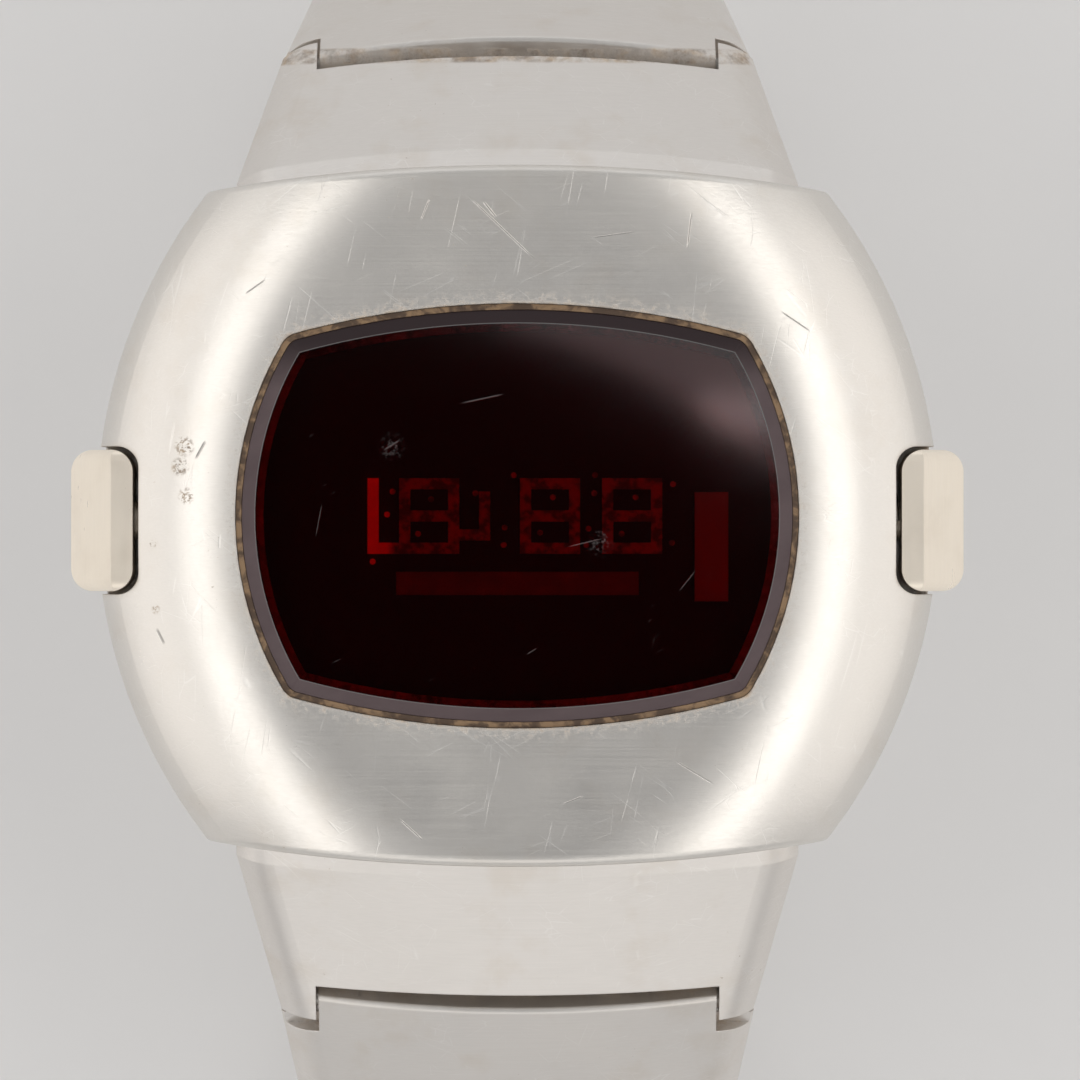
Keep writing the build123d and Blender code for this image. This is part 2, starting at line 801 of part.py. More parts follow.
def build_button(name, side):
    with BuildPart() as button:
        plane = Plane(origin=(0, button_place_y, case_top), x_dir=(side, 0, 0), z_dir=(0, -side, 0))
        facet_corners = (
            (head_floor, -button_top_depth),
            (button_facet_end, -button_top_depth),
            (button_reach, -button_end_top_depth),
        )
        with BuildSketch(plane):
            with BuildLine():
                Polyline(
                    *facet_corners,
                    (button_reach, button_underside_chamfer - button_bottom_depth),
                    (button_reach - button_underside_chamfer, -button_bottom_depth),
                    (head_floor, -button_bottom_depth),
                    close=True,
                )
            make_face()
        extrude(amount=button_half_length, both=True)
        with BuildSketch(top_plane(button_bottom_depth)):
            with Locations((side * button_reach, button_place_y)):
                RectangleRounded(
                    button_reach - head_floor,
                    2 * button_half_length,
                    button_corner_radius,
                    align=(Align.MAX if side > 0 else Align.MIN, Align.CENTER),
                )
        extrude(amount=button_bottom_depth, mode=Mode.INTERSECT)
        # round the long edges of the two facets by a section run along each
        for start, stop in zip(facet_corners, facet_corners[1:]):
            begin, end = (plane.from_local_coords((*corner, 0)) for corner in (start, stop))
            along = Plane(origin=begin, x_dir=(0, side, 0), z_dir=end - begin)
            with BuildSketch(along.offset(-button_reach)) as section:
                RectangleRounded(
                    2 * (button_half_length + button_edge_margin),
                    2 * button_bottom_depth,
                    button_edge_radius,
                    align=(Align.CENTER, Align.MAX),
                )
            extrude(section.sketch, amount=2 * button_reach, mode=Mode.INTERSECT)
        button_bore(side, clip_outer, head_floor, stem_radius, Mode.ADD)
        button_bore(side, clip_inner, clip_outer, stem_neck_radius, Mode.ADD)
        button_bore(side, stem_tip, clip_inner, stem_radius, Mode.ADD)
    finish(button.part, name)


def build_button_seal(name, side):
    with BuildPart() as seal:
        centre = (side * seal_place, button_place_y, level(stem_depth))
        plane = Plane(origin=centre, x_dir=(side, 0, 0), z_dir=(0, -side, 0))
        with BuildSketch(plane):
            with Locations((0, stem_radius + seal_minor_radius + gasket_clearance / 2)):
                Circle(seal_minor_radius - gasket_clearance)
        revolve(axis=Axis(plane.origin, x_axis))
    finish(seal.part, name)


def build_button_spring(name, side):
    start = button_slot_floor - spring_recess_depth + spring_wire_radius + seat_clearance
    stop = head_floor - spring_wire_radius - seat_clearance
    height = stop - start
    foot = (side * start, button_place_y, level(stem_depth))
    with BuildPart() as spring:
        with BuildLine():
            coil = Helix(height / spring_turns, height, spring_radius, center=foot, direction=(side, 0, 0))
        with BuildSketch(Plane(origin=coil @ 0, z_dir=coil % 0)):
            Circle(spring_wire_radius)
        sweep(path=coil, is_frenet=True)
    finish(spring.part, name)


def build_button_clip(name, side):
    with BuildPart() as clip:
        button_bore(side, clip_inner + gasket_clearance, clip_outer - gasket_clearance, clip_radius, Mode.ADD)
        button_bore(side, clip_inner, clip_outer, stem_neck_radius + gasket_clearance)
    finish(clip.part, name)


for side_name, side in button_sides.items():
    build_button(f"{side_name}_button", side)
    build_button_seal(f"{side_name}_button_seal", side)
    build_button_spring(f"{side_name}_button_spring", side)
    build_button_clip(f"{side_name}_button_clip", side)


# Bracelet links


def build_link(name, planes, slopes, number, held):
    """One link. Its inner end has a tongue in the link before it, or a full-width root under the case's lip.
    Its outer end has two ears round the next tongue, or a plain end where nothing is held."""
    plane, pitch = planes[number], pitch_of(number)
    width_in, width_out = link_widths[number] / 2, link_widths[number + 1] / 2
    first = number == 0
    rise_in, drop_in = (root_rise, root_drop) if first else (link_rise, link_drop)
    reach_in = root_back if first else link_overlap
    reach_out = link_overlap if held else 0
    straight = root_straight if first else 0
    taper_length = pitch - straight
    narrowing = (width_in - width_out) / taper_length
    thinning, lifting = (rise_in - link_rise) / taper_length, (drop_in - link_drop) / taper_length
    stations = (-reach_in, straight, pitch + reach_out) if first else (-reach_in, pitch + reach_out)
    with BuildPart() as link:
        for along in stations:
            tapered = max(along - straight, 0) if first else along
            with BuildSketch(cross_plane(plane, along)):
                crowned_section(
                    width_in - narrowing * tapered,
                    rise_in - thinning * tapered,
                    lifting * tapered - drop_in,
                )
        loft(ruled=True)
        top_edges = [
            e
            for e in link.edges()
            if abs(plane.to_local_coords(e.center()).X + reach_in) < seat_clearance
            or abs(plane.to_local_coords(e.center()).X - pitch - reach_out) < seat_clearance
        ]
        top_edges = [e for e in top_edges if plane.to_local_coords(e.center()).Y > 0]
        if not first:
            fillet(top_edges, link_edge_radius)
        if first:
            # slope the root's back so that it turns freely under the lip
            with BuildSketch(plane):
                with BuildLine():
                    Polyline(
                        (-root_back, root_back_rise),
                        (-root_top_back, root_rise),
                        (-root_top_back, root_rise + overrun),
                        (-root_back - overrun, root_rise + overrun),
                        (-root_back - overrun, root_back_rise),
                        close=True,
                    )
                make_face()
            extrude(amount=width_in, both=True, mode=Mode.SUBTRACT)
        else:
            # shoulders beside the tongue: round above the hinge, and below it flat, where the ears stop
            bend = slopes[number] - slopes[number - 1]
            tongue = seat_half_width(number)
            reach = link_overlap + stop_gap
            swing = hypot(link_overlap, link_rise - edge_roll_drop / 2) + swing_clearance
            for end in (1, -1):
                with BuildSketch(plane.offset(end * tongue)):
                    with Locations((reach * cos(radians(bend)), reach * sin(radians(bend)))):
                        Rectangle(
                            link_pitch,
                            2 * link_pitch,
                            rotation=bend,
                            align=(Align.MAX, Align.CENTER),
                        )
                    with BuildLine():
                        CenterArc((0, 0), swing, 0, half_turn)
                        Line((-swing, 0), (swing, 0))
                    make_face()
                extrude(amount=end * overrun, mode=Mode.SUBTRACT)
        hole_gap = pin_running_gap
        hole_radius = (case_pin_radius if first else pin_radius) + hole_gap
        with Locations(pin_plane(plane.origin).location):
            Cylinder(hole_radius, 2 * width_in, mode=Mode.SUBTRACT)
        if held:
            outer = plane.from_local_coords((pitch, 0, 0))
            notch_plane = Plane(origin=outer, x_dir=plane.x_dir, z_dir=plane.z_dir)
            notch_half = seat_half_width(number + 1) + ear_side_gap
            swing = hypot(link_overlap, link_drop) + swing_clearance
            with BuildSketch(notch_plane):
                with Locations((-link_overlap - link_play, 0)):
                    Rectangle(link_pitch / 2, 2 * link_pitch, align=(Align.MIN, Align.CENTER))
                with BuildLine():
                    CenterArc((0, 0), swing, half_turn, half_turn)
                    Line((-swing, 0), (swing, 0))
                make_face()
            extrude(amount=notch_half, both=True, mode=Mode.SUBTRACT)
            with Locations(pin_plane(outer).location):
                Cylinder(
                    pin_radius + pin_press_gap,
                    2 * (width_out - pin_cover + seat_clearance),
                    mode=Mode.SUBTRACT,
                )
    finish(link.part, name)


def build_pin(name, point, half_length, radius):
    with BuildPart(pin_plane(point)) as pin:
        Cylinder(radius, 2 * half_length)
        chamfer(pin.edges().filter_by(GeomType.CIRCLE), pin_chamfer)
    finish(pin.part, name)


for clock, side, planes, slopes in (("12h", 1, planes_12h, slopes_12h), ("6h", -1, planes_6h, slopes_6h)):
    build_pin(f"case_pin_{clock}", planes[0].origin, undercut_half_width + case_pin_seat, case_pin_radius)
    for number in range(link_count):
        last_free = clock == "12h" and number == link_count - 1
        build_link(f"link_{clock}_{number + 1}", planes, slopes, number, not last_free)
    for number in range(1, link_count):
        half_length = link_widths[number] / 2 - pin_cover
        build_pin(f"pin_{clock}_{number}", planes[number].origin, half_length, pin_radius)

# Clasp: inner blade, middle blade and cover, folded flat
blade_height = clasp_pin_height - end_knuckle_radius + blade_thickness / 2
inner_half_width = seat_half_width(link_count)
rail_inner = inner_half_width + blade_side_gap
rail_outer = clasp_half_width - clasp_wall - blade_side_gap
bar_place = planes_12h[-1].from_local_coords((link_pitch + bar_gap + bar_radius, 0, 0))
hinge_a_y = end_6h.Y + clasp_hinge_inset
hinge_b_y = bar_place.Y - far_hinge_inset
build_pin("pin_6h_6", end_6h, link_widths[-1] / 2 - pin_cover, pin_radius)


def side_sketch_plane(x=0):
    """A plane across the watch: X is the watch's Y and Y is up."""
    return Plane(origin=(x, 0, 0), x_dir=(0, 1, 0), z_dir=x_axis)


with BuildPart() as clasp_inner_blade:
    with BuildSketch(side_sketch_plane()):
        with Locations(((hinge_b_y + end_6h.Y) / 2, blade_height)):
            Rectangle(hinge_b_y - end_6h.Y, blade_thickness)
        with Locations((hinge_b_y, blade_height)):
            Circle(knuckle_radius)
        with Locations((end_6h.Y, clasp_pin_height)):
            Circle(end_knuckle_radius)
    extrude(amount=inner_half_width, both=True)
    with Locations(pin_plane((0, hinge_b_y, blade_height)).location, pin_plane(end_6h).location):
        Cylinder(pin_radius + pin_running_gap, 2 * clasp_half_width, mode=Mode.SUBTRACT)
    with Locations((0, magnet_place_y, blade_height)):
        Cylinder(magnet_radius + seat_clearance, 2 * blade_thickness, mode=Mode.SUBTRACT)
finish(clasp_inner_blade.part, "clasp_inner_blade")

with BuildPart() as setting_magnet:
    with Locations((0, magnet_place_y, blade_height)):
        Cylinder(magnet_radius, blade_thickness)
finish(setting_magnet.part, "setting_magnet")

frame_end = hinge_b_y + knuckle_radius + frame_end_gap
with BuildPart() as clasp_middle_blade:
    for end in (1, -1):
        with BuildSketch(side_sketch_plane(end * rail_inner)):
            with Locations(((hinge_a_y + frame_end) / 2, blade_height)):
                Rectangle(frame_end - hinge_a_y, blade_thickness)
            with Locations((hinge_a_y, blade_height), (hinge_b_y, blade_height)):
                Circle(knuckle_radius)
        extrude(amount=end * (rail_outer - rail_inner))
    with BuildSketch(side_sketch_plane()):
        with Locations((frame_end, blade_height)):
            Rectangle(frame_end_width, blade_thickness, align=(Align.MIN, Align.CENTER))
    extrude(amount=rail_outer, both=True)
    with Locations(pin_plane((0, hinge_b_y, blade_height)).location):
        Cylinder(pin_radius + pin_press_gap, 2 * clasp_half_width, mode=Mode.SUBTRACT)
    with Locations(pin_plane((0, hinge_a_y, blade_height)).location):
        Cylinder(pin_radius + pin_running_gap, 2 * clasp_half_width, mode=Mode.SUBTRACT)
finish(clasp_middle_blade.part, "clasp_middle_blade")

build_pin("clasp_pin_b", Vector(0, hinge_b_y, blade_height), rail_outer, pin_radius)

with BuildPart() as clasp_pin_a:
    stub_start, stub_end = rail_inner + seat_clearance, clasp_half_width - seat_clearance
    for end in (1, -1):
        with BuildSketch(pin_plane((end * stub_start, hinge_a_y, blade_height))):
            Circle(pin_radius)
        extrude(amount=end * (stub_end - stub_start))
finish(clasp_pin_a.part, "clasp_pin_a")

cover_start = end_6h.Y - clasp_tail
cover_floor_end = bar_place.Y - bar_radius - seat_clearance
cover_end = bar_place.Y + lug_reach
lug_top = bar_place.Z + lug_reach
with BuildPart() as clasp_cover:
    with BuildSketch(side_sketch_plane()):
        with BuildLine():
            Polyline(
                (cover_start, clasp_edge_radius),
                (cover_start + clasp_edge_radius, 0),
                (cover_end - clasp_edge_radius, 0),
                (cover_end, clasp_edge_radius),
                (cover_end, lug_top),
                (hinge_b_y + lug_reach, clasp_wall_height),
                (cover_start + clasp_wall_height, clasp_wall_height),
                (cover_start, blade_height),
                close=True,
            )
        make_face()
    extrude(amount=clasp_half_width, both=True)
    fillet(
        clasp_cover.edges().filter_by(Axis.Y).group_by(Axis.Z)[0],
        clasp_edge_radius,
    )
    with BuildSketch(Plane.XY.offset(clasp_floor)):
        Rectangle(2 * (clasp_half_width - clasp_wall), 2 * (cover_end - cover_start))
    extrude(amount=clasp_wall_height, mode=Mode.SUBTRACT)
    with BuildSketch(Plane.XY):
        with Locations((0, cover_floor_end)):
            Rectangle(
                2 * (clasp_half_width - clasp_wall),
                cover_end - cover_start,
                align=(Align.CENTER, Align.MIN),
            )
    extrude(amount=clasp_wall_height, mode=Mode.SUBTRACT)
    with Locations(
        pin_plane((0, hinge_a_y, blade_height)).location,
    ):
        Cylinder(pin_radius + pin_press_gap, 2 * clasp_half_width, mode=Mode.SUBTRACT)
    with Locations(pin_plane(bar_place).location):
        Cylinder(bar_radius + pin_press_gap, 2 * clasp_half_width, mode=Mode.SUBTRACT)
finish(clasp_cover.part, "clasp_cover")

build_pin("clasp_bar", bar_place, clasp_half_width - seat_clearance, bar_radius)
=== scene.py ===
import json
import math

import bpy
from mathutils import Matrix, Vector

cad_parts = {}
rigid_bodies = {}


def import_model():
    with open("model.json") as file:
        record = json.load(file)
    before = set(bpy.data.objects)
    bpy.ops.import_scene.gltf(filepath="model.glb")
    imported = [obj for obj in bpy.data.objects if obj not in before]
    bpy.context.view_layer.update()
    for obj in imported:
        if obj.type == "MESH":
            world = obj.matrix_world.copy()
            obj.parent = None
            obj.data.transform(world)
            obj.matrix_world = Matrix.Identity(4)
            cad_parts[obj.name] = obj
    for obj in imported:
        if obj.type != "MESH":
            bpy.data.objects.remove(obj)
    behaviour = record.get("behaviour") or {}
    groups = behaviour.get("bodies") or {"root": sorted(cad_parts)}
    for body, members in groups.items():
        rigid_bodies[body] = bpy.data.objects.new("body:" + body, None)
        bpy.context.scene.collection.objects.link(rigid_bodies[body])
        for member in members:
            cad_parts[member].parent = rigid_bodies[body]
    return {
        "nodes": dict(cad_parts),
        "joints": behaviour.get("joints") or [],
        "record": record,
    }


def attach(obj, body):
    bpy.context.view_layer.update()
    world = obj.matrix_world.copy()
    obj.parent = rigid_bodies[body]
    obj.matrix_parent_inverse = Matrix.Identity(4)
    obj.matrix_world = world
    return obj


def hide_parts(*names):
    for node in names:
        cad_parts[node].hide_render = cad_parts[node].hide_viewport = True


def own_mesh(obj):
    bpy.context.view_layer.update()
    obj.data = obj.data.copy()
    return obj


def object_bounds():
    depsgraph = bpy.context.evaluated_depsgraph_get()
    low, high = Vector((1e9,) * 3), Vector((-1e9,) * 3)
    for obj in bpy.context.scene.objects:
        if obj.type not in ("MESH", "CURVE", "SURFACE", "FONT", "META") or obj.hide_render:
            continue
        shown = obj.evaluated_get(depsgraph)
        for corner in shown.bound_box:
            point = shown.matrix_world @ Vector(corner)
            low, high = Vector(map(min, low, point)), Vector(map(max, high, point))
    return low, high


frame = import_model()
cad_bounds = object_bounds()
scene = bpy.context.scene
nodes = frame["nodes"]
MM = 0.001


# Material kit: every texture works in millimetres of the watch at rest

# Places of a Mix node's colour sockets
MIX_A, MIX_B, MIX_RESULT = 6, 7, 2

# Rays that a rounded edge and a hollow take
EDGE_SAMPLES, HOLLOW_SAMPLES = 2, 2

# A scratch is full across this share of its width, then fades
STROKE_CORE_SHARE = 0.2

# A surface's roughness varies by this much around the value that it is given
ROUGHNESS_SPREAD = 0.12

# The finished materials by name
finishes = {}


class Kit:
    """Short names for the nodes of one material"""

    def __init__(self, name):
        self.name = name
        self.material = bpy.data.materials.new(name)
        self.material.use_nodes = True
        self.tree = self.material.node_tree
        self.tree.nodes.clear()
        self.out = self.node("OutputMaterial")
        coordinates = self.node("TexCoord")
        self.place = self.vector("SCALE", coordinates.outputs["Object"], scale=1 / MM)
        split = self.node("SeparateXYZ")
        self.link(self.place, split.inputs[0])
        self.x, self.y, self.z = split.outputs

    def link(self, a, b):
        self.tree.links.new(a, b)

    def give(self, socket, value):
        """link or set a socket; one number fills all its places, and a colour gets its alpha"""
        if isinstance(value, bpy.types.NodeSocket):
            self.link(value, socket)
        elif value is not None:
            if hasattr(socket.default_value, "__len__") and not hasattr(value, "__len__"):
                value = [value] * len(socket.default_value)
            if hasattr(value, "__len__") and len(value) == 3 and len(socket.default_value) == 4:
                value = (*value, 1.0)
            socket.default_value = value

    def node(self, kind, **inputs):
        """a new node; an underscore in an input's name stands for a space"""
        node = self.tree.nodes.new(f"ShaderNode{kind}")
        for name, value in inputs.items():
            self.give(node.inputs[name.replace("_", " ")], value)
        return node

    def math(self, operation, *values):
        node = self.node("Math")
        node.operation = operation
        for socket, value in zip(node.inputs, values):
            self.give(socket, value)
        return node.outputs[0]

    def times(self, a, b):
        return self.math("MULTIPLY", a, b)

    def plus(self, a, b):
        return self.math("ADD", a, b)

    def minus(self, a, b):
        return self.math("SUBTRACT", a, b)

    def unsigned(self, value):
        return self.math("ABSOLUTE", value)

    def most(self, values):
        top = values[0]
        for value in values[1:]:
            top = self.math("MAXIMUM", top, value)
        return top

    def blend(self, share, a, b):
        """a plain number between a and b"""
        return self.plus(self.times(a, self.minus(1.0, share)), self.times(b, share))

    def step(self, value, low, high, to_low=0.0, to_high=1.0):
        node = self.node("MapRange")
        node.interpolation_type = "SMOOTHSTEP"
        ends = {"Value": value, "From Min": low, "From Max": high, "To Min": to_low, "To Max": to_high}
        for name, given in ends.items():
            self.give(node.inputs[name], given)
        return node.outputs[0]

    def rise(self, value, low, high, top=1.0):
        return self.step(value, low, high, 0.0, top)

    def fall(self, value, low, high, top=1.0):
        return self.step(value, low, high, top, 0.0)

    def mix(self, share, a, b):
        """a colour between a and b"""
        node = self.node("Mix")
        node.data_type = "RGBA"
        self.give(node.inputs["Factor"], share)
        self.give(node.inputs[MIX_A], a)
        self.give(node.inputs[MIX_B], b)
        return node.outputs[MIX_RESULT]

    def vector(self, operation, a, b=None, scale=None):
        node = self.node("VectorMath")
        node.operation = operation
        self.give(node.inputs[0], a)
        self.give(node.inputs[1], b)
        if scale is not None:
            self.give(node.inputs["Scale"], scale)
        return node.outputs["Value"] if operation == "DISTANCE" else node.outputs[0]

    def flat(self):
        """the place seen from above"""
        joined = self.node("CombineXYZ")
        self.link(self.x, joined.inputs[0])
        self.link(self.y, joined.inputs[1])
        return joined.outputs[0]

    def away_from(self, x, y):
        """the distance from an upright line"""
        return self.vector("DISTANCE", self.flat(), (x, y, 0.0))

    def stretched(self, scales, turn=0.0, shift=(0.0, 0.0, 0.0)):
        """the place made so many times denser along each axis, turned by so many degrees"""
        node = self.node(
            "Mapping", Vector=self.place, Rotation=(0.0, 0.0, math.radians(turn)),
            Scale=[1 / s for s in scales], Location=shift,
        )
        node.vector_type = "TEXTURE"
        return node.outputs[0]

    def noise(self, vector, scale=1.0, detail=3.0, roughness=0.55, distortion=0.0):
        return self.node(
            "TexNoise", Vector=vector, Scale=scale, Detail=detail, Roughness=roughness,
            Distortion=distortion,
        ).outputs[0]

    def cells(self, vector, scale=1.0, feature="DISTANCE_TO_EDGE", randomness=1.0):
        node = self.node("TexVoronoi")
        node.feature = feature
        self.give(node.inputs["Vector"], vector)
        self.give(node.inputs["Scale"], scale)
        self.give(node.inputs["Randomness"], randomness)
        return node.outputs["Distance"]

    def rounded(self, radius):
        """normals as if every edge had this radius, in millimetres"""
        node = self.node("Bevel", Radius=radius * MM)
        node.samples = EDGE_SAMPLES
        return node.outputs[0]

    def bump(self, height, strength, depth, normal=None):
        """normals of a relief this deep, in millimetres"""
        return self.node(
            "Bump", Height=height, Strength=strength, Distance=depth * MM, Normal=normal
        ).outputs[0]

    def hollows(self, reach):
        """1 deep in a corner, 0 where nothing stands within reach, in millimetres"""
        node = self.node("AmbientOcclusion", Distance=reach * MM)
        node.samples = HOLLOW_SAMPLES
        return self.minus(1.0, node.outputs["AO"])

    def stroke(self, a, b, width):
        """1 on the straight stroke from a to b seen from above, 0 beside it; it thins towards its ends"""
        ax, ay = a
        dx, dy = b[0] - ax, b[1] - ay
        length = math.hypot(dx, dy)
        right, up = dx / length, dy / length
        px, py = self.minus(self.x, ax), self.minus(self.y, ay)
        along = self.plus(self.times(px, right), self.times(py, up))
        across = self.unsigned(self.minus(self.times(px, up), self.times(py, right)))
        middle = self.unsigned(self.minus(along, length / 2))
        ends = self.fall(middle, length / 4, length / 2)
        return self.times(self.fall(across, width * STROKE_CORE_SHARE, width), ends)

    def surface(self, **inputs):
        return self.node("BsdfPrincipled", **inputs).outputs[0]

    def shared(self, share, a, b):
        """a shader between a and b"""
        node = self.node("MixShader")
        for socket, value in zip(node.inputs, (share, a, b)):
            self.link(value, socket)
        return node.outputs[0]

    def done(self, shader):
        self.link(shader, self.out.inputs["Surface"])
        finishes[self.name] = self.material
        return self.material


# The window's outline seen from above, in millimetres: four arcs that meet in its corners
WINDOW_HALF_WIDTH = 12.3
WINDOW_HALF_HEIGHT = 9.2
WINDOW_CORNER = (10.1, 7.8)


def arc_radius(rise, half_chord):
    return (rise**2 + half_chord**2) / (2 * rise)


def window_distance(k):
    """Millimetres outside the crystal's outline, negative inside: the farthest of its four arcs"""
    flat = k.flat()
    corner_x, corner_y = WINDOW_CORNER
    tall = arc_radius(WINDOW_HALF_HEIGHT - corner_y, corner_x)
    wide = arc_radius(WINDOW_HALF_WIDTH - corner_x, corner_y)
    up, right = WINDOW_HALF_HEIGHT - tall, WINDOW_HALF_WIDTH - wide
    arcs = (((0, up, 0), tall), ((0, -up, 0), tall), ((right, 0, 0), wide), ((-right, 0, 0), wide))
    return k.most([k.minus(k.vector("DISTANCE", flat, centre), radius) for centre, radius in arcs])


# Steel: shares of its base colour, the colours of what marks it, and how much each shows
LINE_SHADE = 0.8
CLOUD_TINT = (0.93, 0.92, 0.89)
SCUFF_BRIGHT = (0.9, 0.89, 0.87)
SCRATCH_DARK = (0.24, 0.23, 0.22)
STAIN_TAN = (0.52, 0.42, 0.3)
# Browns of the dirt round the window, in spots and at a joint, also laid as painted shade in the hollows
# that ambient occlusion finds
GRIME_AND_SHADE_DARK = (0.11, 0.065, 0.035)
GRIME_AND_SHADE_LIGHT = (0.44, 0.31, 0.18)
LINES_SHOW, CLOUD_SHOWS, SCUFFS_SHOW, SCRATCHES_SHOW, STAINS_SHOW = 0.5, 0.4, 0.5, 0.7, 0.22

# What the brush lines and grime do to the roughness
LINE_ROUGHNESS = 0.16
GRIME_ROUGHNESS = 0.8

# How high each stands in the relief, or how deep it is cut
LINES_RELIEF, SCUFF_CUT, SCRATCH_CUT, GRIME_RELIEF = 0.6, 0.8, 2.5, 0.5

# The long brush lines are this share as dense as the fine ones
LONG_LINE_SHARE = 0.45

# Scuffs: turn in degrees, density across their run, shift
SCUFFS = ((24.0, 1.7, 3.1), (-37.0, 1.4, 17.7), (78.0, 1.2, 41.3))
SCUFF_DENSITY_ALONG = 0.09
SCUFF_WIDTH = 0.022
SCUFF_BREAKS = (0.35, 0.6, 0.6)
SCUFF_SHIFT_SHARE = 0.7

# Shifts that give the specks and the tan stains patches of their own
SPECK_SHIFT = (31.0, 7.0, 3.0)
STAIN_SHIFT = (5.0, 40.0, 9.0)

# A spot of dirt is full up to this share of its radius
SPOT_CORE_SHARE = 0.4

# Grime between two links fades in and out over this much, and appears over this much height
BAND_FADE = 0.15
BAND_RISE = 1.0


def scuff(k, turn, density, shift):
    """Broken hairlines that run one way"""
    hairs = (SCUFF_DENSITY_ALONG, density, density)
    cell = k.cells(k.stretched(hairs, turn, (shift, shift * SCUFF_SHIFT_SHARE, 0.0)))
    breaks = k.noise(k.stretched(SCUFF_BREAKS, turn, (shift, 0.0, 0.0)), detail=2.0)
    return k.times(k.fall(cell, low=0.0, high=SCUFF_WIDTH), k.rise(breaks, low=0.56, high=0.66))


def window_grime(k):
    """Dirt that clings round the window, thinner at its left and right, and a fainter halo outside it"""
    away = window_distance(k)
    upright = k.step(k.unsigned(k.y), low=4.5, high=8.5, to_low=0.55)
    ring_patches = k.rise(k.noise(k.place, scale=1.4, detail=6.0, roughness=0.75), low=0.36, high=0.6)
    halo_patches = k.rise(k.noise(k.place, scale=3.3, detail=6.0, roughness=0.8), low=0.47, high=0.66)
    ring = k.times(k.fall(away, low=0.2, high=0.5, top=0.95), ring_patches)
    halo = k.times(k.fall(away, low=0.3, high=1.1, top=0.5), halo_patches)
    return k.times(ring, upright), k.times(halo, upright)


def spot_grime(k, place, size):
    """A crumbly spot of dirt"""
    near = k.fall(k.away_from(*place), low=size * SPOT_CORE_SHARE, high=size, top=0.75)
    crumbs = k.rise(k.noise(k.place, scale=6.0, detail=4.0, roughness=0.7), low=0.46, high=0.58)
    return k.times(near, crumbs)


def band_grime(k, low, high, above):
    """Dirt along the joint between two links, above a height"""
    band = k.times(k.rise(k.y, low, low + BAND_FADE), k.fall(k.y, high, high + BAND_FADE))
    band = k.times(band, k.rise(k.z, above, above + BAND_RISE))
    patches = k.noise(k.place, scale=0.9, detail=6.0, roughness=0.7)
    return k.times(band, k.rise(patches, low=0.36, high=0.68, top=0.8))


